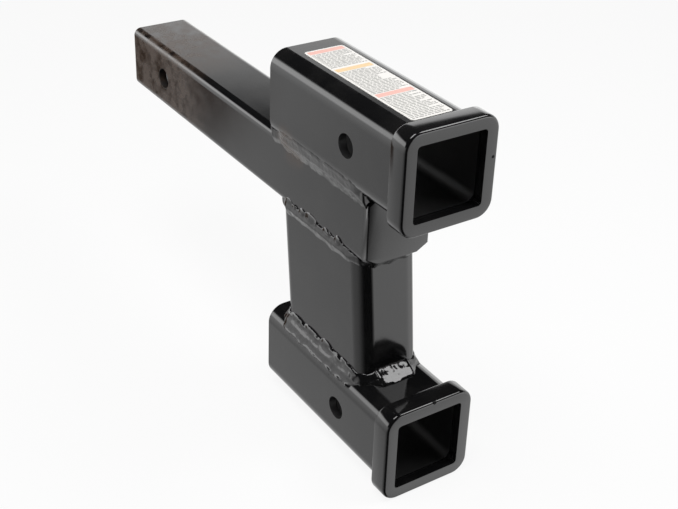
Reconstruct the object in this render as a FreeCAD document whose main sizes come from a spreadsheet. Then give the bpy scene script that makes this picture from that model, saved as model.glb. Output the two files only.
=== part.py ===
import FreeCAD, Part
import math
import os

import Sketcher

# Dual hitch receiver: a welded drop adapter with a two-inch shank and two two-inch receivers.
# Origin at the centre of the hitch-pin hole in the shank, +X towards the receiver mouths, +Z up.

Vector = FreeCAD.Vector

# Driving sizes in millimetres
SIZES = {
    "shank_width": 50.8,
    "shank_wall": 6.35,
    "shank_corner": 6.0,
    "shank_bore_corner": 3.0,
    "shank_tail": 54.0,
    "shank_lead": 9.0,
    "cap_thickness": 6.0,
    "cap_clip_width": 9.0,
    "cap_clip_height": 5.0,
    "pin_hole": 16.7,
    "receiver_width": 63.5,
    "receiver_wall": 5.95,
    "receiver_corner": 13.0,
    "receiver_length": 155.0,
    "receiver_start": 182.0,
    "pin_setback": 67.6,
    "collar_wall": 4.25,
    "collar_corner": 12.0,
    "collar_depth": 15.0,
    "collar_lip": 7.0,
    "collar_clearance": 0.15,
    "collar_front_edge": 2.2,
    "collar_back_edge": 1.0,
    "mouth_margin": 0.3,
    "mouth_corner": 3.0,
    "mouth_edge": 0.8,
    "drop_start": 184.0,
    "drop_length": 103.0,
    "drop_width": 49.0,
    "drop_wall": 6.35,
    "drop_corner": 11.0,
    "drop_height": 93.1,
    "drop_lean": 10.6,
    "label_width": 31.5,
    "label_corner": 2.5,
    "label_thickness": 0.3,
    "label_inset": 14.8,
    "label_tail": 15.2,
    "label_offset": 1.1,
    "weld_pitch": 18.0,
    "weld_ripple": 0.1,
    "weld_drift": 0.08,
    "weld_bite": 0.4,
    "weld_root": 4.0,
    "top_weld_climb": 8.0,
    "top_weld_reach": 7.0,
    "top_weld_rise": 5.0,
    "top_weld_crown": 2.2,
    "base_weld_steepness": 1.17,
    "base_weld_reach": 10.0,
    "base_weld_fall": 8.5,
    "base_weld_inset": 1.25,
    "base_weld_crown": 1.0,
    "receiver_weld_rise": 5.7,
    "receiver_weld_fall": 8.4,
    "receiver_weld_crown": 1.4,
    "receiver_weld_lead": 3.0,
    "receiver_weld_stop": 2.0,
    "back_weld_leg": 8.0,
    "back_weld_climb": 5.0,
    "back_weld_overrun": 4.0,
    "back_weld_crown": 0.8,
    "collar_weld_leg": 3.0,
    "collar_weld_toe": 0.4,
}

# Places worked out from the driving sizes, as sheet formulas
SHANK_TOP = "Sizes.shank_width / 2"
SHANK_FRONT = "(Sizes.drop_start + Sizes.drop_length + Sizes.shank_lead)"
SOCKET = "(Sizes.receiver_width - 2 * Sizes.receiver_wall)"
MOUTH = f"({SOCKET} + 2 * Sizes.mouth_margin)"
COLLAR_WIDTH = "(Sizes.receiver_width + 2 * Sizes.collar_wall)"
SLEEVE_DEPTH = "(Sizes.collar_depth - Sizes.collar_lip)"
UPPER_HEIGHT = "((Sizes.shank_width + Sizes.receiver_width) / 2)"
LOWER_HEIGHT = "(-(Sizes.shank_width + Sizes.receiver_width) / 2 - Sizes.drop_height)"
RECEIVER_END = "(Sizes.receiver_start + Sizes.receiver_length)"
RECEIVER_PIN = "(Sizes.receiver_length + Sizes.collar_lip - Sizes.pin_setback)"
LABEL_LENGTH = "(Sizes.receiver_length - Sizes.label_inset - Sizes.label_tail)"

doc = FreeCAD.newDocument("dual_hitch_receiver")
sheet = doc.addObject("Spreadsheet::Sheet", "Sizes")
for row, (alias, size) in enumerate(SIZES.items(), start=1):
    sheet.set(f"A{row}", alias.replace("_", " "))
    sheet.set(f"B{row}", str(size))
    sheet.setAlias(f"B{row}", alias)
doc.recompute()

nodes = []


def value(formula):
    """The present value of a sheet formula."""
    return float(sheet.evalExpression(formula))


def add_body(name, x="0", y="0", z="0"):
    """A named sub-part whose origin follows three sheet formulas."""
    body = doc.addObject("PartDesign::Body", name)
    body.Label = name
    for axis, formula in zip("xyz", (x, y, z)):
        body.setExpression(f".Placement.Base.{axis}", formula)
    nodes.append(body)
    return body


def add_sketch(body, name, role, offset="0"):
    """A sketch on one of the body's origin planes, moved along the plane's normal."""
    sketch = body.newObject("Sketcher::SketchObject", name)
    plane = next(item for item in body.Origin.OriginFeatures if item.Role == role)
    sketch.AttachmentSupport = [(plane, "")]
    sketch.MapMode = "FlatFace"
    sketch.setExpression(".AttachmentOffset.Base.z", offset)
    return sketch


def bind(sketch, name, formula, *constraint):
    """Add a sketch dimension that follows a sheet formula."""
    index = sketch.addConstraint(Sketcher.Constraint(*constraint, value(formula)))
    sketch.renameConstraint(index, name)
    sketch.setExpression(f"Constraints.{name}", formula)


def closed_outline(sketch, points):
    """Straight lines through the points and back to the first; returns the number of the first line."""
    first = sketch.GeometryCount
    count = len(points)
    for here, there in zip(points, points[1:] + points[:1]):
        sketch.addGeometry(Part.LineSegment(here, there))
    for index in range(count):
        following = first + (index + 1) % count
        sketch.addConstraint(Sketcher.Constraint("Coincident", first + index, 2, following, 1))
    return first


def rounded_rectangle(sketch, name, wide, high, corner):
    """A rectangle centred on the sketch origin with four equal round corners, bound to the sheet."""
    x, y, r = value(wide) / 2, value(high) / 2, value(corner)
    first = sketch.GeometryCount
    inner = (Vector(x - r, r - y), Vector(x - r, y - r), Vector(r - x, y - r), Vector(r - x, r - y))
    starts = (Vector(r - x, -y), Vector(x, r - y), Vector(x - r, y), Vector(-x, y - r))
    ends = (Vector(x - r, -y), Vector(x, y - r), Vector(r - x, y), Vector(-x, r - y))
    normal = Vector(0, 0, 1)
    for turn, (start, end, centre) in enumerate(zip(starts, ends, inner)):
        sketch.addGeometry(Part.LineSegment(start, end))
        circle = Part.Circle(centre, normal, r)
        begin = (turn - 1) * math.pi / 2
        sketch.addGeometry(Part.ArcOfCircle(circle, begin, begin + math.pi / 2))
    for turn in range(4):
        line, arc = first + 2 * turn, first + 2 * turn + 1
        following = first + (2 * turn + 2) % 8
        sketch.addConstraint(Sketcher.Constraint("Tangent", line, 2, arc, 1))
        sketch.addConstraint(Sketcher.Constraint("Tangent", arc, 2, following, 1))
        sketch.addConstraint(Sketcher.Constraint("Vertical" if turn % 2 else "Horizontal", line))
        if turn:
            sketch.addConstraint(Sketcher.Constraint("Equal", first + 1, arc))
    sketch.addConstraint(Sketcher.Constraint("Symmetric", first + 1, 3, first + 5, 3, -1, 1))
    bind(sketch, f"{name}_wide", wide, "DistanceX", first + 6, 1, first + 2, 1)
    bind(sketch, f"{name}_high", high, "DistanceY", first, 1, first + 4, 1)
    bind(sketch, f"{name}_corner", corner, "Radius", first + 1)


def clipped_rectangle(sketch, wide, high, clip_wide, clip_high):
    """A rectangle centred on the sketch origin whose four corners are cut off straight."""
    x, y, cx, cy = value(wide) / 2, value(high) / 2, value(clip_wide), value(clip_high)
    first = closed_outline(sketch, [
        Vector(cx - x, -y), Vector(x - cx, -y), Vector(x, cy - y), Vector(x, y - cy),
        Vector(x - cx, y), Vector(cx - x, y), Vector(-x, y - cy), Vector(-x, cy - y),
    ])
    bottom, right, top, left = first, first + 2, first + 4, first + 6
    sketch.addConstraint(Sketcher.Constraint("Symmetric", bottom, 1, bottom, 2, -2))
    sketch.addConstraint(Sketcher.Constraint("Symmetric", right, 1, right, 2, -1))
    for near, far in ((bottom, top), (right, left)):
        for end in (1, 2):
            sketch.addConstraint(Sketcher.Constraint("Symmetric", near, end, far, end, -1, 1))
    bind(sketch, "wide", wide, "DistanceX", left, 1, right, 1)
    bind(sketch, "high", high, "DistanceY", bottom, 1, top, 1)
    bind(sketch, "clip_wide", clip_wide, "DistanceX", bottom, 2, right, 1)
    bind(sketch, "clip_high", clip_high, "DistanceY", bottom, 2, right, 1)


def pad(body, sketch, length):
    """Extrude a sketch along its normal."""
    feature = body.newObject("PartDesign::Pad", f"{sketch.Name}_pad")
    feature.Profile = sketch
    feature.setExpression("Length", length)
    return feature


def chamfer_edges(body, name, size, test):
    """Chamfer every edge of the body so far whose vertices all pass the test."""
    doc.recompute()
    base = body.Tip
    edges = [
        f"Edge{index}" for index, edge in enumerate(base.Shape.Edges, start=1)
        if all(test(vertex.Point) for vertex in edge.Vertexes)
    ]
    feature = body.newObject("PartDesign::Chamfer", name)
    feature.Base = (base, edges)
    feature.setExpression("Size", size)


def cross_hole(body, name, along):
    """The hitch-pin hole through both side walls."""
    sketch = add_sketch(body, f"{name}_hole", "XZ_Plane")
    sketch.addGeometry(Part.Circle(Vector(value(along), 0), Vector(0, 0, 1), value("Sizes.pin_hole") / 2))
    sketch.addConstraint(Sketcher.Constraint("PointOnObject", 0, 3, -1))
    bind(sketch, "along", along, "DistanceX", -1, 1, 0, 3)
    bind(sketch, "diameter", "Sizes.pin_hole", "Diameter", 0)
    pocket = body.newObject("PartDesign::Pocket", f"{name}_hole_cut")
    pocket.Profile = sketch
    pocket.SideType = "Symmetric"
    pocket.Type = "ThroughAll"


def square_tube(name, width, wall, corner, bore_corner, length, pin_along, **place):
    """A square tube along +X from its rear end, with a hitch-pin hole."""
    body = add_body(name, **place)
    section = add_sketch(body, f"{name}_section", "YZ_Plane")
    bore = f"{width} - 2 * {wall}"
    rounded_rectangle(section, "outside", width, width, corner)
    rounded_rectangle(section, "inside", bore, bore, bore_corner)
    pad(body, section, length)
    cross_hole(body, name, pin_along)
    return body


def receiver_tube(name, height):
    """One of the two receiver tubes."""
    return square_tube(
        name, "Sizes.receiver_width", "Sizes.receiver_wall", "Sizes.receiver_corner",
        "Sizes.receiver_corner - Sizes.receiver_wall", "Sizes.receiver_length", RECEIVER_PIN,
        x="Sizes.receiver_start", z=height,
    )


def collar(name, height):
    """Ring slipped over the mouth end of a receiver: a sleeve round the tube and a lip in front of it."""
    body = add_body(name, x=RECEIVER_END, z=height)
    ring = add_sketch(body, f"{name}_ring", "YZ_Plane", f"-{SLEEVE_DEPTH}")
    rounded_rectangle(ring, "outside", COLLAR_WIDTH, COLLAR_WIDTH, "Sizes.collar_corner")
    rounded_rectangle(ring, "mouth", MOUTH, MOUTH, "Sizes.mouth_corner")
    pad(body, ring, "Sizes.collar_depth")

    sleeve = add_sketch(body, f"{name}_sleeve", "YZ_Plane")
    fit = "Sizes.receiver_width + 2 * Sizes.collar_clearance"
    rounded_rectangle(sleeve, "sleeve", fit, fit, "Sizes.receiver_corner + Sizes.collar_clearance")
    pocket = body.newObject("PartDesign::Pocket", f"{name}_sleeve_cut")
    pocket.Profile = sleeve
    pocket.Type = "ThroughAll"

    front, back = value("Sizes.collar_lip"), -value(SLEEVE_DEPTH)
    near_outside = (value(COLLAR_WIDTH) + value("Sizes.receiver_width")) / 4
    near_mouth = (value("Sizes.receiver_width") + value(MOUTH)) / 4

    def reach(point):
        return max(abs(point.y), abs(point.z))

    chamfer_edges(body, f"{name}_front_edge", "Sizes.collar_front_edge",
                  lambda p: abs(p.x - front) < NEAR and reach(p) > near_outside)
    chamfer_edges(body, f"{name}_back_edge", "Sizes.collar_back_edge",
                  lambda p: abs(p.x - back) < NEAR and reach(p) > near_outside)
    chamfer_edges(body, f"{name}_mouth_edge", "Sizes.mouth_edge",
                  lambda p: abs(p.x - front) < NEAR and reach(p) < near_mouth)
    return body


def collar_weld(name, height):
    """Seal bead in the corner between the back of a collar and its tube."""
    body = add_body(name, x=f"{RECEIVER_END} - {SLEEVE_DEPTH}", z=height)
    wide = "Sizes.receiver_width + 2 * Sizes.collar_weld_leg"
    narrow = "Sizes.receiver_width + 2 * Sizes.collar_weld_toe"
    against_collar = add_sketch(body, f"{name}_foot", "YZ_Plane")
    rounded_rectangle(against_collar, "foot", wide, wide, "Sizes.receiver_corner + Sizes.collar_weld_leg")
    toe = add_sketch(body, f"{name}_toe", "YZ_Plane", "-Sizes.collar_weld_leg")
    rounded_rectangle(toe, "toe", narrow, narrow, "Sizes.receiver_corner + Sizes.collar_weld_toe")
    bead = body.newObject("PartDesign::AdditiveLoft", f"{name}_bead")
    bead.Profile = against_collar
    bead.Sections = [toe]

    seat = add_sketch(body, f"{name}_seat", "YZ_Plane")
    rounded_rectangle(
        seat, "tube", "Sizes.receiver_width", "Sizes.receiver_width", "Sizes.receiver_corner")
    pocket = body.newObject("PartDesign::Pocket", f"{name}_seat_cut")
    pocket.Profile = seat
    pocket.Type = "ThroughAll"
    return body


def end_cap():
    """Plate that closes the front of the shank, with clipped corners."""
    body = add_body("shank_end_cap", x=f"{SHANK_FRONT} - Sizes.cap_thickness")
    outline = add_sketch(body, "cap_outline", "YZ_Plane")
    clipped_rectangle(
        outline, "Sizes.shank_width", "Sizes.shank_width", "Sizes.cap_clip_width", "Sizes.cap_clip_height")
    pad(body, outline, "Sizes.cap_thickness")
    return body


def drop_tube():
    """Rectangular tube from the underside of the shank down to the lower receiver, leaning forward."""
    body = add_body("drop_tube", x="Sizes.drop_start + Sizes.drop_length / 2", z=f"-{SHANK_TOP}")
    section = add_sketch(body, "drop_section", "XY_Plane")
    rounded_rectangle(section, "outside", "Sizes.drop_length", "Sizes.drop_width", "Sizes.drop_corner")
    rounded_rectangle(
        section, "inside", "Sizes.drop_length - 2 * Sizes.drop_wall",
        "Sizes.drop_width - 2 * Sizes.drop_wall", "Sizes.drop_corner - Sizes.drop_wall")
    leg = pad(body, section, "Sizes.drop_height")
    leg.UseCustomVector = True
    leg.AlongSketchNormal = True
    leg.setExpression("Direction.x", "Sizes.drop_lean")
    leg.setExpression("Direction.y", "0")
    leg.setExpression("Direction.z", "-Sizes.drop_height")
    return body


def label():
    """Thin sticker on top of the upper receiver."""
    body = add_body(
        "blank_label", x=f"Sizes.receiver_start + Sizes.label_inset + {LABEL_LENGTH} / 2",
        y="Sizes.label_offset", z=f"{UPPER_HEIGHT} + Sizes.receiver_width / 2")
    outline = add_sketch(body, "label_outline", "XY_Plane")
    rounded_rectangle(outline, "label", LABEL_LENGTH, "Sizes.label_width", "Sizes.label_corner")
    pad(body, outline, "Sizes.label_thickness")
    return body


def swell(index, count):
    """Size factor of a hand-laid bead at one of its stations: ripples, with a slow drift between its ends."""
    ripple = value("Sizes.weld_ripple") * (-1) ** index
    drift = value("Sizes.weld_drift") * math.sin(math.pi * index / count) * math.sin(index)
    return 1 + ripple + drift


def station_count(length):
    """Half-ripples along a bead, always an even number."""
    return 2 * max(2, round(length / value("Sizes.weld_pitch")))


def bead_section(toe_on_leg, toe_on_seat, crown, root):
    """Closed outline across a bead, with its face pushed out from the root by the crown height."""
    across = toe_on_seat - toe_on_leg
    middle = (toe_on_leg + toe_on_seat) / 2
    outward = middle - root
    outward -= across * (outward.dot(across) / across.dot(across))
    crest = middle + outward.normalize() * crown
    return [toe_on_leg, crest, toe_on_seat, root]


def flat_face(points):
    """A face with straight edges through the points."""
    return Part.Face(Part.makePolygon(points + points[:1]))


def bead_solid(sections):
    """A solid through the sections with flat facets, so that each ripple has a crest and a valley."""
    faces = [flat_face(sections[0]), flat_face(sections[-1])]
    for near, far in zip(sections, sections[1:]):
        for corner in range(len(near)):
            following = (corner + 1) % len(near)
            faces.append(flat_face([near[corner], near[following], far[following]]))
            faces.append(flat_face([near[corner], far[following], far[corner]]))
    solid = Part.makeSolid(Part.makeShell(faces))
    if solid.Volume < 0:
        solid.reverse()
    return solid


def lay_bead(name, sections, seats):
    """Run a bead through its sections and take away the pieces that it is laid on."""
    bead = doc.addObject("Part::Feature", f"{name}_laid")
    bead.Shape = bead_solid(sections)
    for seat in seats:
        trimmed = doc.addObject("Part::Cut", f"{name}_on_{seat.Name}")
        trimmed.Base = bead
        trimmed.Tool = seat
        bead = trimmed
    bead.Label = name
    nodes.append(bead)
    return bead


def pass_round_drop(facing, along, half_length, half_width, turn):
    """Points and outward directions along one side of the drop tube, and on through a turn at both ends."""
    corner = value("Sizes.drop_corner")
    straight = half_length - corner
    reach = straight + corner * turn
    count = station_count(2 * reach)
    for index in range(count + 1):
        travel = reach * (2 * index / count - 1)
        bend = math.copysign(max(abs(travel) - straight, 0) / corner, travel)
        outward = facing * math.cos(bend) + along * math.sin(bend)
        centre = along * max(-straight, min(straight, travel)) + facing * (half_width - corner)
        yield index, count, centre + outward * corner, outward


def drop_weld(name, seats, centre, away, legs):
    """Four weld passes round one end of the drop tube; away points from the seat up or down the tube."""
    half_length, half_width = value("Sizes.drop_length") / 2, value("Sizes.drop_width") / 2
    shear = value("Sizes.drop_lean") / value("Sizes.drop_height")
    bite, root = value("Sizes.weld_bite"), value("Sizes.weld_root")
    x_axis, y_axis = Vector(1, 0, 0), Vector(0, 1, 0)
    passes = {
        "left": (-y_axis, x_axis, half_length, half_width, math.pi / 2),
        "right": (y_axis, -x_axis, half_length, half_width, math.pi / 2),
        "front": (x_axis, y_axis, half_width, half_length, 0),
        "back": (-x_axis, -y_axis, half_width, half_length, 0),
    }
    for side, course in passes.items():
        sections = []
        for index, count, point, outward in pass_round_drop(*course):
            on_end, on_side = outward.x ** 2, outward.y ** 2
            size = swell(index, count)
            climb = size * legs["climb"]
            spread = size * (on_end * legs["reach"] + on_side * legs["spread"])
            sink = size * (on_end * bite + on_side * legs["sink"])
            crown = size * on_side * legs["crown"]
            foot = centre + point
            lean = -shear * away.z * climb * outward.x
            toe_on_leg = foot + away * climb + outward * (lean - bite)
            toe_on_seat = foot + outward * spread - away * sink
            sections.append(bead_section(toe_on_leg, toe_on_seat, crown, foot - (outward + away) * root))
        lay_bead(f"{name}_{side}", sections, seats)


def receiver_side_weld(name, side, seats):
    """Groove weld between the round lower corner of the upper receiver and the round top of the shank."""
    shank_half, receiver_half = value("Sizes.shank_width") / 2, value("Sizes.receiver_width") / 2
    corner, bite = value("Sizes.receiver_corner"), value("Sizes.weld_bite")
    start = value("Sizes.receiver_start") - value("Sizes.receiver_weld_lead")
    end = value(SHANK_FRONT) - value("Sizes.receiver_weld_stop")
    count = station_count(end - start)
    sections = []
    for index in range(count + 1):
        along = start + (end - start) * index / count
        size = swell(index, count)
        rise = size * value("Sizes.receiver_weld_rise")
        overhang = math.sqrt(corner ** 2 - (corner - rise) ** 2)
        upper = Vector(along, side * (receiver_half - corner + overhang - bite), shank_half + rise)
        fall = size * value("Sizes.receiver_weld_fall")
        lower = Vector(along, side * (shank_half - bite), shank_half - fall)
        root = Vector(along, side * (shank_half - value("Sizes.shank_corner")), shank_half)
        sections.append(bead_section(upper, lower, size * value("Sizes.receiver_weld_crown"), root))
    return lay_bead(name, sections, seats)


def receiver_back_weld(name, seats):
    """Fillet across the shank at the rear end of the upper receiver."""
    shank_top, end = value(SHANK_TOP), value("Sizes.receiver_start")
    bite, root = value("Sizes.weld_bite"), value("Sizes.weld_root")
    flat = value("Sizes.receiver_width") / 2 - value("Sizes.receiver_corner")
    reach = flat + value("Sizes.back_weld_overrun")
    count = station_count(2 * reach)
    sections = []
    for index in range(count + 1):
        across = reach * (2 * index / count - 1)
        size = swell(index, count)
        upper = Vector(end + bite, across, shank_top + size * value("Sizes.back_weld_climb"))
        lower = Vector(end - size * value("Sizes.back_weld_leg"), across, shank_top - bite)
        middle = Vector(end + root, across, shank_top - root)
        sections.append(bead_section(upper, lower, size * value("Sizes.back_weld_crown"), middle))
    return lay_bead(name, sections, seats)


# Largest distance at which a vertex counts as lying in a plane
NEAR = 1e-4

# Tubes, plates and collars
shank = square_tube(
    "shank_tube", "Sizes.shank_width", "Sizes.shank_wall", "Sizes.shank_corner", "Sizes.shank_bore_corner",
    f"{SHANK_FRONT} + Sizes.shank_tail - Sizes.cap_thickness", "Sizes.shank_tail", x="-Sizes.shank_tail",
)
cap = end_cap()
upper_tube = receiver_tube("upper_receiver_tube", UPPER_HEIGHT)
lower_tube = receiver_tube("lower_receiver_tube", LOWER_HEIGHT)
collar("upper_collar", UPPER_HEIGHT)
collar("lower_collar", LOWER_HEIGHT)
leg_tube = drop_tube()
label()
doc.recompute()

# Welds
collar_weld("upper_collar_weld", UPPER_HEIGHT)
collar_weld("lower_collar_weld", LOWER_HEIGHT)
side_welds = [
    receiver_side_weld(f"receiver_weld_{word}", side, [shank, cap, upper_tube])
    for word, side in (("left", -1), ("right", 1))
]
receiver_back_weld("receiver_weld_back", [shank, upper_tube] + side_welds)

drop_middle = value("Sizes.drop_start + Sizes.drop_length / 2")
side_gap = value("(Sizes.shank_width - Sizes.drop_width) / 2")
drop_weld(
    "drop_top_weld", [shank, cap, leg_tube], Vector(drop_middle, 0, -value(SHANK_TOP)), Vector(0, 0, -1),
    {"climb": value("Sizes.top_weld_climb"), "reach": value("Sizes.top_weld_reach"),
     "spread": side_gap - value("Sizes.weld_bite"), "sink": value("Sizes.top_weld_rise"),
     "crown": value("Sizes.top_weld_crown")},
)
lower_top = value(f"{LOWER_HEIGHT} + Sizes.receiver_width / 2")
shoulder = value("(Sizes.receiver_width - Sizes.drop_width) / 2 - Sizes.base_weld_inset")
drop_weld(
    "drop_base_weld", [lower_tube, leg_tube],
    Vector(drop_middle + value("Sizes.drop_lean"), 0, lower_top), Vector(0, 0, 1),
    {"climb": shoulder * value("Sizes.base_weld_steepness"), "reach": value("Sizes.base_weld_reach"),
     "spread": shoulder, "sink": value("Sizes.base_weld_fall"),
     "crown": value("Sizes.base_weld_crown")},
)
doc.recompute()

# Every object and every shape is sound before anything is written
for item in doc.Objects:
    if {"Invalid", "Error"} & set(item.State):
        raise RuntimeError(f"{item.Label} failed: {item.State}")
for node in nodes:
    if node.Shape.isNull() or not node.Shape.isValid():
        raise RuntimeError(f"{node.Label} has no valid shape")

os.makedirs("parts", exist_ok=True)
for node in nodes:
    node.Shape.exportStep(f"parts/{node.Label}.step")
    print(f"{node.Label}: {len(node.Shape.Solids)} solid, {node.Shape.Volume / 1000:.2f} cm3")
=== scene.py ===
import math
import random

import bmesh
import bpy
from mathutils import Euler, Matrix, Vector, noise


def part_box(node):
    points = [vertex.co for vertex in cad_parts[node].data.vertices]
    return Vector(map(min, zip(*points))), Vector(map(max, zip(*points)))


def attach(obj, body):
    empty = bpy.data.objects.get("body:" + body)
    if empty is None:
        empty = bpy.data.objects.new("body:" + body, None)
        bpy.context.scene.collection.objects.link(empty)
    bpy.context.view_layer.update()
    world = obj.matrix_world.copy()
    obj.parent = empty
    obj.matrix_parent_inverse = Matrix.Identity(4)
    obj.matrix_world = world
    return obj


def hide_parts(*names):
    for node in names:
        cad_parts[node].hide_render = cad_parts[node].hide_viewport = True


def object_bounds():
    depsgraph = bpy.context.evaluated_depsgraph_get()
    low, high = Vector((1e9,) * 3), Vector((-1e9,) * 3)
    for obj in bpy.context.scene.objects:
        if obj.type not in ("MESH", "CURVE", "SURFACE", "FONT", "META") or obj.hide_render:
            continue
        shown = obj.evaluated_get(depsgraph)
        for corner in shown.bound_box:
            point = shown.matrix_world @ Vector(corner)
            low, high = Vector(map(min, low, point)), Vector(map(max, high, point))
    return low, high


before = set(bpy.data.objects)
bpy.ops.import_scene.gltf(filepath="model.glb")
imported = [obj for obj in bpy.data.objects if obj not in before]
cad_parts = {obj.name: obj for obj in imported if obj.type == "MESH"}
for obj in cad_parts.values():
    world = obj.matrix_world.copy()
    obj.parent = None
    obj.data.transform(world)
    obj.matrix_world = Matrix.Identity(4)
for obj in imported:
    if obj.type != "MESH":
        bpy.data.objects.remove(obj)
CAD_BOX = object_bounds()

bl_info = {
    "name": "Dual Hitch Receiver",
    "version": (1, 0, 0),
    "blender": (4, 5, 0),
    "location": "View3D > Sidebar > Hitch",
    "description": "Dresses the welded hitch adapter: gloss black paint, hand-laid welds, label and studio",
    "category": "Object",
}

# Lengths in this script are metres, as in the frame; MM turns millimetres into them.
MM = 0.001
SAME_POINT = 0.001 * MM
BODY = "root"


def linear(code):
    """Linear colour of an sRGB hex value."""
    parts = [int(code[place:place + 2], 16) / 255 for place in (0, 2, 4)]
    return tuple(part / 12.92 if part <= 0.04045 else ((part + 0.055) / 1.055) ** 2.4 for part in parts)


def box_size(node):
    """Size of a CAD node's box."""
    low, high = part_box(node)
    return high - low


def box_middle(node):
    """Middle of a CAD node's box."""
    low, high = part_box(node)
    return (low + high) / 2


SHANK_LOW, SHANK_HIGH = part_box("shank_tube")
RECEIVER_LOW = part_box("upper_receiver_tube")[0]
LOWER_LOW, LOWER_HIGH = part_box("lower_receiver_tube")
DROP_LOW, DROP_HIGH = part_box("drop_tube")
LABEL_LOW, LABEL_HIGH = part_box("blank_label")
COLLAR_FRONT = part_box("upper_collar")[1].x

# Where the paint is stained: middle and radius of the rear of the shank's side and of the long weld's start
STAINS = (
    (Vector((SHANK_LOW.x + 45 * MM, SHANK_LOW.y, -4 * MM)), 98 * MM),
    (Vector((RECEIVER_LOW.x + 21 * MM, SHANK_LOW.y - 2 * MM, SHANK_HIGH.z - 1 * MM)), 21 * MM),
)
# The rough insides of the two sockets: the heights of their axes and half of their width, with a small margin
SOCKET_AXES = (box_middle("upper_receiver_tube").z, box_middle("lower_receiver_tube").z)
SOCKET_HALF = 26 * MM
# The rough walls of the pin holes: a point on each axis, and the radius with a small margin
MOUTH_TO_PIN = 67.6 * MM
PIN_HOLES = (
    Vector((0, 0, 0)),
    *(Vector((COLLAR_FRONT - MOUTH_TO_PIN, 0, height)) for height in SOCKET_AXES),
)
PIN_HOLE_RADIUS = 8.6 * MM
# How much rougher the paint is on a stain, in a socket and on the wall of a pin hole
STAIN_ROUGHNESS, SOCKET_ROUGHNESS, BORE_ROUGHNESS = 0.2, 0.4, 0.5
# Chips in the paint, with their radius: on the upper collar's face and on the lower collar's front edge
CHIPS = (
    (Vector((COLLAR_FRONT, 32.5 * MM, SOCKET_AXES[0] + 6 * MM)), 1.1 * MM),
    (Vector((COLLAR_FRONT - 0.6 * MM, 3 * MM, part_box("lower_collar")[1].z - 0.6 * MM)), 1.6 * MM),
)


class HITCH_PG_finish(bpy.types.PropertyGroup):
    """Colours of the finishes."""

    paint: bpy.props.FloatVectorProperty(
        name="Paint", description="Gloss black paint on the tubes", subtype="COLOR", size=3,
        min=0, max=1, default=linear("0f0f10"))
    dust: bpy.props.FloatVectorProperty(
        name="Dust", description="Thin haze of handling dust on the paint", subtype="COLOR", size=3,
        min=0, max=1, default=linear("2c2b2a"))
    rust: bpy.props.FloatVectorProperty(
        name="Rust", description="Brown bloom where the paint is thin", subtype="COLOR", size=3,
        min=0, max=1, default=linear("3a2b20"))
    film: bpy.props.FloatVectorProperty(
        name="Label film", description="White film of the label", subtype="COLOR", size=3,
        min=0, max=1, default=linear("e6e4e0"))
    salmon: bpy.props.FloatVectorProperty(
        name="Salmon bar", description="Bars at the two ends of the label", subtype="COLOR", size=3,
        min=0, max=1, default=linear("e6b3a8"))
    amber: bpy.props.FloatVectorProperty(
        name="Amber bar", description="Bar in the middle of the label", subtype="COLOR", size=3,
        min=0, max=1, default=linear("e8c99b"))
    rows: bpy.props.FloatVectorProperty(
        name="Grey rows", description="Grey rows that fill the label's panels", subtype="COLOR", size=3,
        min=0, max=1, default=linear("94938f"))


class HITCH_PG_sizes(bpy.types.PropertyGroup):
    """Sizes of the welds, collars and label."""

    bead_grain: bpy.props.FloatProperty(
        name="Bead grain", description="Spacing of the mesh on a weld bead", unit="LENGTH",
        default=0.55 * MM)
    ripple_pitch: bpy.props.FloatProperty(
        name="Ripple pitch", description="Distance from one weld ripple to the next", unit="LENGTH",
        default=4.2 * MM)
    ripple_height: bpy.props.FloatProperty(
        name="Ripple height", description="Height of a weld ripple", unit="LENGTH", default=0.02 * MM)
    lump_height: bpy.props.FloatProperty(
        name="Lump height", description="Height of the uneven lumps in a bead", unit="LENGTH",
        default=0.2 * MM)
    collar_round: bpy.props.FloatProperty(
        name="Collar round", description="Radius of a collar's front edge", unit="LENGTH",
        default=2.0 * MM)
    collar_corner: bpy.props.FloatProperty(
        name="Collar corner", description="Radius of a collar's four corners", unit="LENGTH",
        default=12 * MM)
    collar_lip: bpy.props.FloatProperty(
        name="Collar lip", description="Depth of the lip in front of the receiver tube", unit="LENGTH",
        default=7 * MM)
    print_height: bpy.props.FloatProperty(
        name="Print height", description="Thickness of the ink on the label", unit="LENGTH",
        default=0.03 * MM)


class HITCH_PG_stage(bpy.types.PropertyGroup):
    """Camera and studio."""

    camera_place: bpy.props.FloatVectorProperty(
        name="Camera place", description="Where the camera stands", subtype="TRANSLATION", size=3,
        unit="LENGTH", default=(0.8597, -0.4314, 0.3999))
    camera_turn: bpy.props.FloatVectorProperty(
        name="Camera turn", description="Turn of the camera about X, Y and Z", subtype="EULER", size=3,
        unit="ROTATION", default=(math.radians(61.269), math.radians(-1.914), math.radians(56.646)))
    lens: bpy.props.FloatProperty(
        name="Lens", description="Focal length in millimetres", unit="CAMERA", default=65.80)
    shift: bpy.props.FloatVectorProperty(
        name="Shift", description="Shift of the picture, as a part of its width", size=2,
        default=(-0.0058, -0.0690))
    floor_size: bpy.props.FloatProperty(
        name="Floor size", description="Side of the square floor", unit="LENGTH", default=8.0)
    softbox_power: bpy.props.FloatProperty(
        name="Softbox power", description="Power of the softbox overhead", unit="POWER", default=10.8)


def settings():
    """The three groups of properties on the scene."""
    scene = bpy.context.scene
    return scene.hitch_finish, scene.hitch_sizes, scene.hitch_stage


def add_node(tree, kind, inputs=(), **options):
    """Add a node with its options, and set or link its inputs."""
    node = tree.nodes.new(kind)
    for name, option in options.items():
        setattr(node, name, option)
    for socket, source in dict(inputs).items():
        if isinstance(source, bpy.types.NodeSocket):
            tree.links.new(source, node.inputs[socket])
        else:
            node.inputs[socket].default_value = source
    return node


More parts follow.
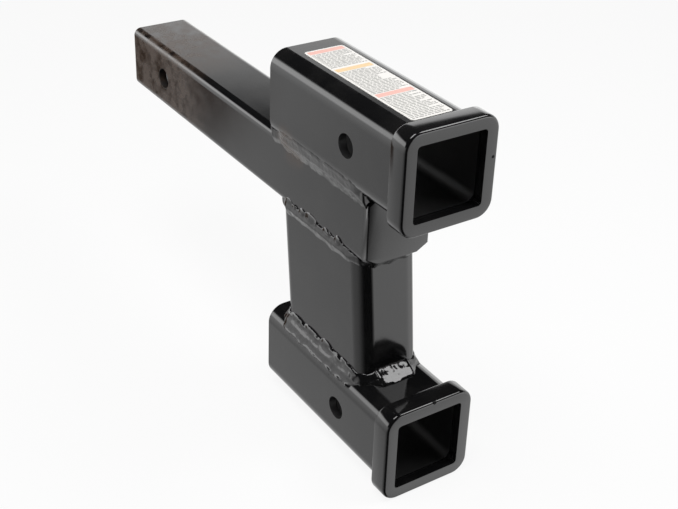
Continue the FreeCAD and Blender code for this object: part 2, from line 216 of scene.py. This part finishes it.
def math_node(tree, operation, *values):
    """Result of a maths node on numbers or sockets."""
    return add_node(tree, "ShaderNodeMath", dict(enumerate(values)), operation=operation).outputs[0]


def ramp(tree, value, low, high, start=0.0, end=1.0, interpolation="LINEAR"):
    """A value that runs from start to end while another runs from low to high."""
    return add_node(tree, "ShaderNodeMapRange", {
        "Value": value, "From Min": low, "From Max": high, "To Min": start, "To Max": end},
        interpolation_type=interpolation).outputs["Result"]


def blend(tree, factor, first, second):
    """Mix of two colours."""
    return add_node(
        tree, "ShaderNodeMix", {"Factor": factor, 6: first, 7: second}, data_type="RGBA").outputs[2]


def distance(tree, place, point):
    """How far the shaded place lies from a point."""
    return add_node(tree, "ShaderNodeVectorMath", {0: place, 1: point}, operation="DISTANCE").outputs["Value"]


def new_material(name):
    """An empty node material, or the one of that name that was made before."""
    made = bpy.data.materials.get(name) or bpy.data.materials.new(name)
    made.use_nodes = True
    made.node_tree.nodes.clear()
    return made


def per_metre(size_mm):
    """Pattern scale for features of that size."""
    return 1 / (size_mm * MM)


def opaque(colour):
    """A colour with full alpha."""
    return (*colour, 1.0)


def gloss_black_paint(name, peel_mm, peel_height, roughest):
    """Gloss black enamel on mill-finish steel: deep black, faint orange peel, dust, stains and chips."""
    finish, _, _ = settings()
    made = new_material(name)
    tree = made.node_tree
    place = add_node(tree, "ShaderNodeTexCoord").outputs["Object"]
    haze = add_node(tree, "ShaderNodeTexNoise", {
        "Vector": place, "Scale": per_metre(28), "Detail": 5.0, "Roughness": 0.6}).outputs["Fac"]
    dust = ramp(tree, haze, 0.45, 0.8, 0.0, 0.35)
    colour = blend(tree, dust, opaque(finish.paint), opaque(finish.dust))
    gloss = ramp(tree, haze, 0.3, 0.75, 0.06, roughest)

    bloom = add_node(tree, "ShaderNodeTexNoise", {
        "Vector": place, "Scale": per_metre(13), "Detail": 6.0, "Roughness": 0.65}).outputs["Fac"]
    patchy = ramp(tree, bloom, 0.32, 0.56)
    for middle, radius in STAINS:
        near = ramp(tree, distance(tree, place, middle), 0.35 * radius, radius, 1.0, 0.0, "SMOOTHSTEP")
        stain = math_node(tree, "MULTIPLY", near, patchy)
        colour = blend(tree, stain, colour, opaque(finish.rust))
        gloss = math_node(tree, "MULTIPLY_ADD", stain, STAIN_ROUGHNESS, gloss)

    parts = add_node(tree, "ShaderNodeSeparateXYZ", {0: place}).outputs
    between = math_node(tree, "COMPARE", parts["Y"], 0.0, SOCKET_HALF)
    for axis in SOCKET_AXES:
        level = math_node(tree, "COMPARE", parts["Z"], axis, SOCKET_HALF)
        inside = math_node(tree, "MULTIPLY", between, level)
        gloss = math_node(tree, "MULTIPLY_ADD", inside, SOCKET_ROUGHNESS, gloss)

    flat = add_node(
        tree, "ShaderNodeVectorMath", {0: place, 1: (1, 0, 1)}, operation="MULTIPLY").outputs["Vector"]
    for axis in PIN_HOLES:
        bore = math_node(tree, "LESS_THAN", distance(tree, flat, axis), PIN_HOLE_RADIUS)
        gloss = math_node(tree, "MULTIPLY_ADD", bore, BORE_ROUGHNESS, gloss)

    shine, chip_dullness = 0.5, 0.45
    for middle, radius in CHIPS:
        chip = math_node(tree, "LESS_THAN", distance(tree, place, middle), radius)
        shine = math_node(tree, "MULTIPLY_ADD", chip, -chip_dullness, shine)

    peel = add_node(tree, "ShaderNodeTexNoise", {
        "Vector": place, "Scale": per_metre(peel_mm), "Detail": 2.0}).outputs["Fac"]
    skin = add_node(tree, "ShaderNodeBump", {
        "Height": peel, "Strength": 0.35, "Distance": peel_height * MM}).outputs["Normal"]
    shader = add_node(tree, "ShaderNodeBsdfPrincipled", {
        "Base Color": colour, "Roughness": gloss, "Specular IOR Level": shine, "Normal": skin, "IOR": 1.5})
    add_node(tree, "ShaderNodeOutputMaterial", {"Surface": shader.outputs["BSDF"]})
    return made


def plain_film(name, colour, roughness):
    """Printed vinyl film: one flat colour with a satin face."""
    made = new_material(name)
    tree = made.node_tree
    shader = add_node(tree, "ShaderNodeBsdfPrincipled", {
        "Base Color": opaque(colour), "Roughness": roughness, "IOR": 1.46})
    add_node(tree, "ShaderNodeOutputMaterial", {"Surface": shader.outputs["BSDF"]})
    return made


def dress(piece, material):
    """Give a piece its material, and a new piece its place on the body."""
    piece.data.materials.clear()
    piece.data.materials.append(material)
    if piece.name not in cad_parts:
        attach(piece, BODY)


def new_piece(name, mesh_in_work, smooth_below=40):
    """A finished object from a bmesh: doubles merged, faces outwards, smooth up to an angle in degrees."""
    bmesh.ops.remove_doubles(mesh_in_work, verts=mesh_in_work.verts, dist=SAME_POINT)
    bmesh.ops.recalc_face_normals(mesh_in_work, faces=mesh_in_work.faces)
    mesh = bpy.data.meshes.new(name)
    mesh_in_work.to_mesh(mesh)
    mesh_in_work.free()
    mesh.shade_smooth()
    mesh.set_sharp_from_angle(angle=math.radians(smooth_below))
    piece = bpy.data.objects.new(name, mesh)
    bpy.context.scene.collection.objects.link(piece)
    return piece


class HITCH_OT_tubes(bpy.types.Operator):
    """Paint the tubes and the end plate"""

    bl_idname = "hitch.tubes"
    bl_label = "Paint Tubes"

    def execute(self, context):
        paint = gloss_black_paint("gloss_black_paint", peel_mm=2.6, peel_height=0.02, roughest=0.13)
        for name in ("shank_tube", "upper_receiver_tube", "lower_receiver_tube", "drop_tube"):
            dress(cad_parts[name], paint)
        plate = self.end_plate()
        dress(plate, paint)
        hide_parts("shank_end_cap")
        return {"FINISHED"}

    def end_plate(self):
        """The plate in front of the shank, with its front edges broken by the grinder."""
        work = bmesh.new()
        work.from_mesh(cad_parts["shank_end_cap"].data)
        bmesh.ops.remove_doubles(work, verts=work.verts, dist=SAME_POINT)
        bmesh.ops.dissolve_limit(work, angle_limit=math.radians(1), verts=work.verts, edges=work.edges)
        middle = box_middle("shank_end_cap").x
        front = [edge for edge in work.edges if all(vert.co.x > middle for vert in edge.verts)]
        broken_edge = 1.1 * MM
        bmesh.ops.bevel(
            work, geom=front, offset=broken_edge, segments=3, profile=0.5, affect="EDGES", material=-1)
        return new_piece("end_plate", work, smooth_below=50)


def side_face(mesh_in_work, towards):
    """The face that looks most nearly in a direction."""
    mesh_in_work.normal_update()
    return max(mesh_in_work.faces, key=lambda face: (face.normal.dot(towards), face.calc_area()))


def sink_face(mesh_in_work, face, margin, depth):
    """Inset a face by a margin and push its middle in; returns the pushed face."""
    bmesh.ops.inset_region(mesh_in_work, faces=[face], thickness=margin, use_even_offset=True)
    made = bmesh.ops.extrude_discrete_faces(mesh_in_work, faces=[face])["faces"][0]
    bmesh.ops.translate(mesh_in_work, verts=made.verts, vec=-made.normal * depth)
    return made


class HITCH_OT_collars(bpy.types.Operator):
    """Model the two collars with their round front edges"""

    bl_idname = "hitch.collars"
    bl_label = "Make Collars"

    def execute(self, context):
        _, sizes, _ = settings()
        paint = bpy.data.materials["gloss_black_paint"]
        for name, tube in (("upper_collar", "upper_receiver_tube"), ("lower_collar", "lower_receiver_tube")):
            piece = self.collar(name, tube, sizes)
            dress(piece, paint)
            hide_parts(name)
        return {"FINISHED"}

    def collar(self, name, tube, sizes):
        """A ring with a sleeve behind and a lip in front, from one block."""
        size, middle = box_size(name), box_middle(name)
        socket_wall, back_round = 5.15 * MM, 1 * MM
        work = bmesh.new()
        bmesh.ops.create_cube(work, size=1, matrix=Matrix.Translation(middle) @ Matrix.Diagonal((*size, 1)))
        along = [edge for edge in work.edges if abs((edge.verts[0].co - edge.verts[1].co).x) > size.x / 2]
        bmesh.ops.bevel(
            work, geom=along, offset=sizes.collar_corner, segments=10,
            profile=0.5, affect="EDGES", material=-1)

        tube_width = box_size(tube).y
        sleeve_wall = (size.y - tube_width) / 2
        front = side_face(work, Vector((1, 0, 0)))
        outer_front = list(front.edges)
        back = side_face(work, Vector((-1, 0, 0)))
        outer_back = list(back.edges)
        mouth_floor = sink_face(work, front, sleeve_wall + socket_wall, sizes.collar_lip)
        sleeve_floor = sink_face(work, back, sleeve_wall, size.x - sizes.collar_lip)
        inner = list(mouth_floor.edges) + list(sleeve_floor.edges)
        bmesh.ops.delete(work, geom=[mouth_floor, sleeve_floor], context="FACES_ONLY")
        bmesh.ops.bridge_loops(work, edges=inner)
        bmesh.ops.bevel(
            work, geom=[edge for edge in outer_front if edge.is_valid], offset=sizes.collar_round, segments=5,
            profile=0.5, affect="EDGES", material=-1)
        bmesh.ops.bevel(
            work, geom=[edge for edge in outer_back if edge.is_valid], offset=back_round, segments=3,
            profile=0.5, affect="EDGES", material=-1)
        return new_piece(f"{name}_ring", work, smooth_below=50)


def blob_row(mesh_in_work, start, end, pitch, radius, length, seed):
    """Low uneven droplets of weld metal in a row; length is how far they stretch along it."""
    chance = random.Random(seed)
    run = end - start
    count = max(1, round(run.length / pitch))
    for index in range(count + 1):
        along = min(max((index + chance.uniform(-0.3, 0.3)) / count, 0), 1)
        girth = radius * chance.uniform(0.75, 1.2)
        stretch = Vector((
            length * chance.uniform(0.7, 1.3), chance.uniform(0.5, 0.68), chance.uniform(0.75, 1.0)))
        matrix = Matrix.Translation(start + run * along) @ Matrix.Diagonal((*(stretch * girth), 1))
        bmesh.ops.create_icosphere(mesh_in_work, subdivisions=3, radius=1, matrix=matrix)


def bead_face(mesh_in_work, upper, lower, root, crown, ridge, seed):
    """A smooth bead between two wandering toe lines with low ridges, closed at a root line in the joint."""
    length = (upper[1] - upper[0]).length
    station, wander = 2 * MM, 1.1 * MM
    count = round(length / station)
    # Places across the face from the upper toe to the lower one, closer together at the two ridges
    parts = (0, 0.05, 0.1, 0.18, 0.34, 0.5, 0.66, 0.82, 0.9, 0.95, 1)
    rings = []
    for index in range(count + 1):
        along = index / count
        # Full nearly all the way, and thin at the two ends
        swell = 1 - 0.9 * (2 * along - 1) ** 16
        heart = root[0].lerp(root[1], along)
        top, foot = upper[0].lerp(upper[1], along), lower[0].lerp(lower[1], along)
        across = (top - foot).normalized()
        top += across * wander * noise.noise(Vector((along * length * per_metre(14), seed, 0)))
        foot += across * wander * noise.noise(Vector((along * length * per_metre(9), seed, 5)))
        outward = ((top + foot) / 2 - heart).normalized()
        ring = [heart]
        for part in parts:
            toe = math.exp(-((part - 0.1) / 0.08) ** 2) + math.exp(-((part - 0.9) / 0.07) ** 2)
            lumpy = 0.7 + noise.noise(Vector((along * length * per_metre(6), seed, part)))
            bulge = crown * (1 - abs(2 * part - 1)) + ridge * toe * lumpy
            ring.append(heart + (top.lerp(foot, part) + outward * bulge - heart) * swell)
        rings.append([mesh_in_work.verts.new(point) for point in ring])
    for ring, following in zip(rings, rings[1:]):
        for place in range(len(ring)):
            after = (place + 1) % len(ring)
            mesh_in_work.faces.new((ring[place], ring[after], following[after], following[place]))
    mesh_in_work.faces.new(rings[0])
    mesh_in_work.faces.new(rings[-1])
    bmesh.ops.recalc_face_normals(mesh_in_work, faces=mesh_in_work.faces)


def fused(mesh_in_work, name, grain):
    """One even skin over all the overlapping shells of a bead."""
    mesh = bpy.data.meshes.new(name)
    mesh_in_work.to_mesh(mesh)
    mesh_in_work.free()
    piece = bpy.data.objects.new(name, mesh)
    bpy.context.scene.collection.objects.link(piece)
    skin = piece.modifiers.new("skin", "REMESH")
    skin.mode = "VOXEL"
    skin.voxel_size = grain
    graph = bpy.context.evaluated_depsgraph_get()
    result = bpy.data.meshes.new_from_object(piece.evaluated_get(graph))
    piece.modifiers.clear()
    piece.data = result
    bpy.data.meshes.remove(mesh)
    result.name = name
    return piece


class HITCH_OT_welds(bpy.types.Operator):
    """Lay the weld beads with their ripples, lumps and droplets"""

    bl_idname = "hitch.welds"
    bl_label = "Lay Welds"

    def execute(self, context):
        _, sizes, _ = settings()
        paint = gloss_black_paint("painted_weld_metal", peel_mm=1.6, peel_height=0.04, roughest=0.16)
        for seed, (node, (face, rows)) in enumerate(self.beads().items()):
            work = bmesh.new()
            work.from_mesh(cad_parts[node].data)
            bmesh.ops.remove_doubles(work, verts=work.verts, dist=SAME_POINT)
            if face:
                bead_face(work, *face, seed)
            for place, row in enumerate(rows):
                blob_row(work, *row, seed * 10 + place)
            piece = fused(work, f"{node}_bead", sizes.bead_grain)
            self.ripple(piece, sizes, seed, not node.endswith(("front", "back")))
            piece.data.shade_smooth()
            dress(piece, paint)
            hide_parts(node)
        return {"FINISHED"}

    def beads(self):
        """Each weld node with its face, as bead_face takes it, and its rows of droplets, as blob_row does."""
        shank_foot, shank_top, lower_top = SHANK_LOW.z, SHANK_HIGH.z, LOWER_HIGH.z

        def line(x_start, x_end, y, z):
            """Start and end of a line along the shank."""
            return Vector((x_start, y, z)), Vector((x_end, y, z))

        table = {}
        for word, side in (("left", 1), ("right", -1)):
            out = -side * MM
            y_shank, y_drop, y_tube = SHANK_LOW.y * side, DROP_LOW.y * side, LOWER_LOW.y * side
            y_root = y_shank - 6 * out

            ends = RECEIVER_LOW.x + 2 * MM, SHANK_HIGH.x + 6.5 * MM
            table[f"receiver_weld_{word}"] = (
                line(*ends, y_tube - 0.35 * out, shank_top + 9.5 * MM),
                line(*ends, y_shank + 0.1 * out, shank_top - 7 * MM),
                line(*ends, y_root, shank_top + 1 * MM), 1.5 * MM, 0.3 * MM,
            ), [
                (*line(ends[0] + 8 * MM, ends[1] - 8 * MM, y_shank - 0.4 * out, shank_top - 6.4 * MM),
                 6 * MM, 1.7 * MM, 1.6),
            ]

            ends = DROP_LOW.x + 4 * MM, DROP_LOW.x + 95 * MM
            table[f"drop_top_weld_{word}"] = (
                line(*ends, y_shank + 0.1 * out, shank_foot + 4.5 * MM),
                line(*ends, y_drop + 0.1 * out, shank_foot - 6 * MM),
                line(*ends, y_root, shank_foot - 1 * MM), 2.3 * MM, 0.3 * MM,
            ), [
                (*line(ends[0] + 10 * MM, ends[1] - 16 * MM, y_shank - 1.3 * out, shank_foot + 3.8 * MM),
                 18 * MM, 4.3 * MM, 1.5),
                (*line(ends[0] + 19 * MM, ends[1] - 8 * MM, y_shank + 0.2 * out, shank_foot + 3.8 * MM),
                 18 * MM, 1.7 * MM, 1.3),
            ]

            ends = DROP_LOW.x + 10 * MM, DROP_HIGH.x - 2 * MM
            table[f"drop_base_weld_{word}"] = (
                line(*ends, y_drop + 0.1 * out, lower_top + 6 * MM),
                line(*ends, y_tube - 0.9 * out, lower_top - 8 * MM),
                line(*ends, y_root, lower_top - 3 * MM), 1.0 * MM, 1.2 * MM,
            ), [
                (*line(ends[0] + 14 * MM, ends[1] - 20 * MM, y_drop - 1.0 * out, lower_top + 4.6 * MM),
                 22 * MM, 4.2 * MM, 2.1),
                (*line(ends[0] + 25 * MM, ends[1] - 14 * MM, y_drop + 0.2 * out, lower_top + 5.4 * MM),
                 22 * MM, 1.6 * MM, 1.4),
            ]

        for node, foot_side in (("drop_base_weld_front", 1), ("drop_base_weld_back", 0)):
            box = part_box(node)
            x_foot, x_wall = box[foot_side].x, box[1 - foot_side].x
            ends = box[0].y - 2.5 * MM, box[1].y + 2.5 * MM
            corners = (x_wall, box[1].z - 0.3 * MM), (x_foot, box[0].z + 0.3 * MM), (x_wall, box[0].z)
            lines = [tuple(Vector((x, y, z)) for y in ends) for x, z in corners]
            table[node] = (*lines, 0.6 * MM, 0), []
        for node in ("receiver_weld_back", "drop_top_weld_front", "drop_top_weld_back",
                     "upper_collar_weld", "lower_collar_weld"):
            table[node] = None, []
        return table

    def ripple(self, piece, sizes, seed, along_x):
        """Smooth a bead's skin and push it out in ripples and uneven lumps."""
        smoothing_rounds, swell = 5, 0.15 * MM
        work = bmesh.new()
        work.from_mesh(piece.data)
        for _ in range(smoothing_rounds):
            bmesh.ops.smooth_vert(
                work, verts=work.verts, factor=0.5, use_axis_x=True, use_axis_y=True, use_axis_z=True)
        work.normal_update()
        offset = Vector((seed * 0.37, seed * 0.91, seed * 0.53))
        for vert in work.verts:
            run = vert.co.x if along_x else vert.co.y
            drift = 2.5 * noise.noise(vert.co * per_metre(9) + offset)
            wave = sizes.ripple_height * math.cos(2 * math.pi * run / sizes.ripple_pitch + drift)
            lump = sizes.lump_height * noise.noise(vert.co * per_metre(7) + offset)
            grit = 0.3 * sizes.lump_height * noise.noise(vert.co * per_metre(2.2) + offset)
            vert.co += vert.normal * (wave + lump + grit + swell)
        work.to_mesh(piece.data)
        work.free()


class HITCH_OT_label(bpy.types.Operator):
    """Print the label with plain bars and grey rows"""

    bl_idname = "hitch.label"
    bl_label = "Print Label"

    def execute(self, context):
        finish, sizes, _ = settings()
        film = plain_film("label_vinyl", finish.film, roughness=0.38)
        dress(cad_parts["blank_label"], film)
        margin, bar, bar_gap = 1.6 * MM, 5.0 * MM, 1.2 * MM
        across = (LABEL_LOW.y + margin, LABEL_HIGH.y - margin)
        starts = [LABEL_LOW.x + part * (LABEL_HIGH.x - LABEL_LOW.x) for part in (0.012, 0.285, 0.655)]
        ends = starts[1:] + [LABEL_HIGH.x - 0.5 * margin]
        bars = {"salmon": [starts[0], starts[2]], "amber": [starts[1]]}
        for word, places in bars.items():
            fields = [(x, x + bar, *across) for x in places]
            ink = plain_film(f"{word}_ink", getattr(finish, word), roughness=0.42)
            self.ink(f"label_bars_{word}", fields, ink, sizes)
        rows = []
        row, row_pitch, gap = 0.9 * MM, 2.0 * MM, 0.7 * MM
        chance = random.Random(4)
        for start, end in zip(starts, ends):
            x = start + bar + bar_gap
            while x < end - row_pitch:
                y = across[0]
                stop = across[1] - chance.choice((0, 0, 0, 3, 8)) * MM
                while y < stop:
                    dash = chance.uniform(1.5, 5) * MM
                    rows.append((x, x + row, y, min(y + dash, stop)))
                    y += dash + gap
                x += row_pitch
        self.ink("label_rows", rows, plain_film("grey_ink", finish.rows, roughness=0.45), sizes)
        return {"FINISHED"}

    def ink(self, name, fields, material, sizes):
        """Thin flat fields of one colour on top of the label."""
        work = bmesh.new()
        lift = LABEL_HIGH.z + sizes.print_height / 2
        for x_low, x_high, y_low, y_high in fields:
            middle = Vector(((x_low + x_high) / 2, (y_low + y_high) / 2, lift))
            size = (x_high - x_low, y_high - y_low, sizes.print_height, 1)
            bmesh.ops.create_cube(work, size=1, matrix=Matrix.Translation(middle) @ Matrix.Diagonal(size))
        dress(new_piece(name, work), material)


class HITCH_OT_stage(bpy.types.Operator):
    """Set the floor, the studio light and the camera"""

    bl_idname = "hitch.stage"
    bl_label = "Set Stage"

    def execute(self, context):
        _, _, stage = settings()
        scene = context.scene
        scene.view_settings.view_transform = "Standard"
        self.floor(stage)
        self.studio(scene)
        self.softbox(stage)
        self.camera(scene, stage)
        return {"FINISHED"}

    def floor(self, stage):
        """White paper under the object, which the camera sees as nearly white with a faint shadow."""
        white_share, clearance = 0.9, 0.2 * MM
        work = bmesh.new()
        low, high = CAD_BOX
        middle = (low + high) / 2
        bmesh.ops.create_grid(
            work, x_segments=1, y_segments=1, size=stage.floor_size / 2,
            matrix=Matrix.Translation((middle.x, middle.y, low.z - clearance)))
        floor = new_piece("floor", work)
        floor.visible_glossy = False
        made = new_material("white_paper")
        tree = made.node_tree
        paper = add_node(tree, "ShaderNodeBsdfDiffuse", {"Color": opaque(linear("f2f2f2"))}).outputs["BSDF"]
        white = add_node(tree, "ShaderNodeEmission", {"Color": opaque((1, 1, 1)), "Strength": 1.0}).outputs[0]
        seen = add_node(tree, "ShaderNodeLightPath").outputs["Is Camera Ray"]
        amount = math_node(tree, "MULTIPLY", seen, white_share)
        mixed = add_node(tree, "ShaderNodeMixShader", {0: amount, 1: paper, 2: white}).outputs[0]
        add_node(tree, "ShaderNodeOutputMaterial", {"Surface": mixed})
        floor.data.materials.append(made)

    def studio(self, scene):
        """A dark room with white paper below and a backdrop: the paint's flats show these as charcoal."""
        world = bpy.data.worlds.get("studio") or bpy.data.worlds.new("studio")
        scene.world = world
        world.use_nodes = True
        tree = world.node_tree
        tree.nodes.clear()
        look = add_node(tree, "ShaderNodeTexCoord").outputs["Generated"]
        parts = add_node(tree, "ShaderNodeSeparateXYZ", {0: look}).outputs
        height = parts["Z"]
        bearing = math_node(tree, "ARCTAN2", parts["Y"], parts["X"])

        def band(value, low, high, low_soft, high_soft):
            """One between two limits of a value, with soft edges."""
            rise = ramp(tree, value, low - low_soft, low + low_soft, interpolation="SMOOTHSTEP")
            fall = ramp(tree, value, high - high_soft, high + high_soft, 1.0, 0.0, "SMOOTHSTEP")
            return math_node(tree, "MULTIPLY", rise, fall)

        def sector(*degrees):
            """One between two bearings, with soft edges."""
            return band(bearing, *(math.radians(angle) for angle in degrees))

        def outside(field):
            """One where a field is not."""
            return math_node(tree, "SUBTRACT", 1.0, field)

        def both(first, second):
            """One where two fields overlap."""
            return math_node(tree, "MULTIPLY", first, second)

        # Paper all round below the horizon, brighter far away, but shaded on the camera's side
        below = band(height, -2.0, 0.09, 0.01, 0.05)
        far = ramp(tree, height, -0.45, -0.05, 0.9, 1.9)
        paper = both(both(below, outside(sector(-62, 22, 28, 8))), far)
        # The other fields: heights with their soft edges, then bearings in degrees with theirs
        backdrop = both(band(height, 0.05, 0.385, 0.05, 0.05), outside(sector(-105, 70, 15, 15)))
        window = both(band(height, 0.09, 0.35, 0.05, 0.05), sector(-176, -112, 3, 12))
        panel = both(band(height, -0.75, -0.1, 0.1, 0.1), sector(26, 75, 6, 15))
        strip = both(band(height, -0.2, 0.05, 0.06, 0.03), sector(20, 50, 5, 8))
        glow = 0.02
        for field, strength in ((paper, 0.9), (backdrop, 1.6), (window, 2.4), (panel, 0.9), (strip, 2.5)):
            glow = math_node(tree, "MULTIPLY_ADD", field, strength, glow)

        # A brown crate on the left, which the rear of the shank shows
        crate = both(band(height, -0.43, -0.1, 0.03, 0.05), sector(-176, -151, 3, 2))
        tint = blend(tree, crate, opaque((1, 1, 1)), opaque(linear("6e5a4c")))
        room = add_node(tree, "ShaderNodeBackground", {"Color": tint, "Strength": glow}).outputs[0]
        white = add_node(
            tree, "ShaderNodeBackground", {"Color": opaque((1, 1, 1)), "Strength": 1.0}).outputs[0]
        seen = add_node(tree, "ShaderNodeLightPath").outputs["Is Camera Ray"]
        mixed = add_node(tree, "ShaderNodeMixShader", {0: seen, 1: room, 2: white}).outputs[0]
        add_node(tree, "ShaderNodeOutputWorld", {"Surface": mixed})

    def softbox(self, stage):
        """A large softbox overhead on the camera's left, and a smaller one at the rear right."""
        stand_off, rear_share = 1.3, 0.6
        boxes = (
            ("softbox", Vector((0.05, -0.24, 0.97)), 0.65, stage.softbox_power),
            ("rear_softbox", Vector((0.35, 0.5, 0.79)), 0.5, rear_share * stage.softbox_power),
        )
        for name, direction, side, power in boxes:
            lamp = bpy.data.lights.new(name, "AREA")
            lamp.energy = power
            lamp.size = side
            box = bpy.data.objects.new(name, lamp)
            box.location = box_middle("drop_tube") + direction.normalized() * stand_off
            box.rotation_mode = "QUATERNION"
            box.rotation_quaternion = direction.to_track_quat("Z", "Y")
            bpy.context.scene.collection.objects.link(box)

    def camera(self, scene, stage):
        """Camera at the photograph's view."""
        lens = bpy.data.cameras.new("camera")
        lens.sensor_width = 36
        lens.lens = stage.lens
        lens.shift_x, lens.shift_y = stage.shift
        lens.clip_start, lens.clip_end = 0.01, 100
        camera = bpy.data.objects.new("camera", lens)
        camera.location = stage.camera_place
        camera.rotation_euler = Euler(stage.camera_turn, "XYZ")
        scene.collection.objects.link(camera)
        scene.camera = camera


class HITCH_PT_panel(bpy.types.Panel):
    """Buttons for each group of pieces"""

    bl_idname = "HITCH_PT_panel"
    bl_label = "Dual Hitch Receiver"
    bl_space_type = "VIEW_3D"
    bl_region_type = "UI"
    bl_category = "Hitch"

    def draw(self, context):
        layout = self.layout
        for group in settings():
            for name in group.bl_rna.properties.keys():
                if name not in ("rna_type", "name"):
                    layout.prop(group, name)
        for operator in OPERATORS:
            layout.operator(operator.bl_idname)


GROUPS = {"hitch_finish": HITCH_PG_finish, "hitch_sizes": HITCH_PG_sizes, "hitch_stage": HITCH_PG_stage}
OPERATORS = (HITCH_OT_tubes, HITCH_OT_collars, HITCH_OT_welds, HITCH_OT_label, HITCH_OT_stage)


def register():
    """Add the classes and the property groups to Blender."""
    for group in (*GROUPS.values(), *OPERATORS, HITCH_PT_panel):
        bpy.utils.register_class(group)
    for name, group in GROUPS.items():
        setattr(bpy.types.Scene, name, bpy.props.PointerProperty(type=group))


def unregister():
    """Take them out again."""
    for name in GROUPS:
        delattr(bpy.types.Scene, name)
    for group in (HITCH_PT_panel, *reversed(OPERATORS), *GROUPS.values()):
        bpy.utils.unregister_class(group)


def main():
    """Dress the part."""
    register()
    bpy.ops.hitch.tubes()
    bpy.ops.hitch.collars()
    bpy.ops.hitch.welds()
    bpy.ops.hitch.label()
    bpy.ops.hitch.stage()


if __name__ == "__main__":
    main()
